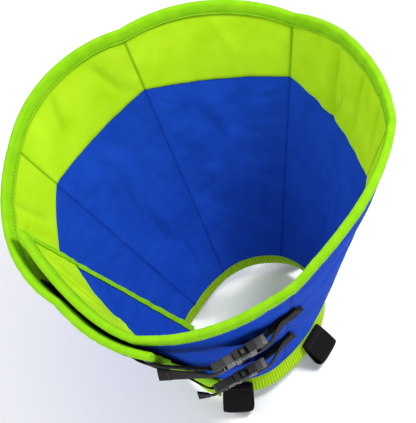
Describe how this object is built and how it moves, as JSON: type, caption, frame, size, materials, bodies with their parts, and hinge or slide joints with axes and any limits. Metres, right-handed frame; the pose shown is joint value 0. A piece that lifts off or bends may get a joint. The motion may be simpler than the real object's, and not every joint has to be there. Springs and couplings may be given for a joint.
{
  "type": "soft recovery cone",
  "caption": "Padded fabric recovery cone for a pet, wrapped past one turn, with a bound rim, a knit neck cuff, collar loops and buckled throat straps.",
  "frame": {"origin": "Centre of the neck opening, level with the panels' neck edge", "axes": "+Z along the cone from the neck to the wide rim, throat and buckles towards -Y, +X towards the side where the front seam lies"},
  "size_m": [0.3558, 0.3401, 0.2991],
  "materials": {
    "shell": "blue woven polyester over thin padding",
    "facing": "lime woven polyester",
    "binding": "lime bias binding",
    "cuff": "lime ribbed knit",
    "webbing": "black woven webbing",
    "hook_loop": "black hook-and-loop tape",
    "buckle": "black moulded acetal"
  },
  "bodies": {
    "root": {"panel_1": "shell", "panel_2": "shell", "panel_3": "shell", "panel_4": "shell", "panel_5": "shell", "panel_6": "shell", "panel_7": "shell", "panel_8": "shell", "rim_facing": "facing", "rim_binding": "binding", "inner_end_binding": "binding", "outer_end_binding": "binding", "neck_cuff": "cuff", "collar_loop_1": "webbing", "collar_loop_2": "webbing", "collar_loop_3": "webbing", "collar_loop_4": "webbing", "hook_loop_strip": "hook_loop", "upper_strap": "webbing", "upper_anchor": "webbing", "lower_strap": "webbing", "lower_anchor": "webbing", "upper_buckle_plug": "buckle", "upper_buckle_socket": "buckle", "lower_buckle_plug": "buckle", "lower_buckle_socket": "buckle"}
  },
  "joints": []
}
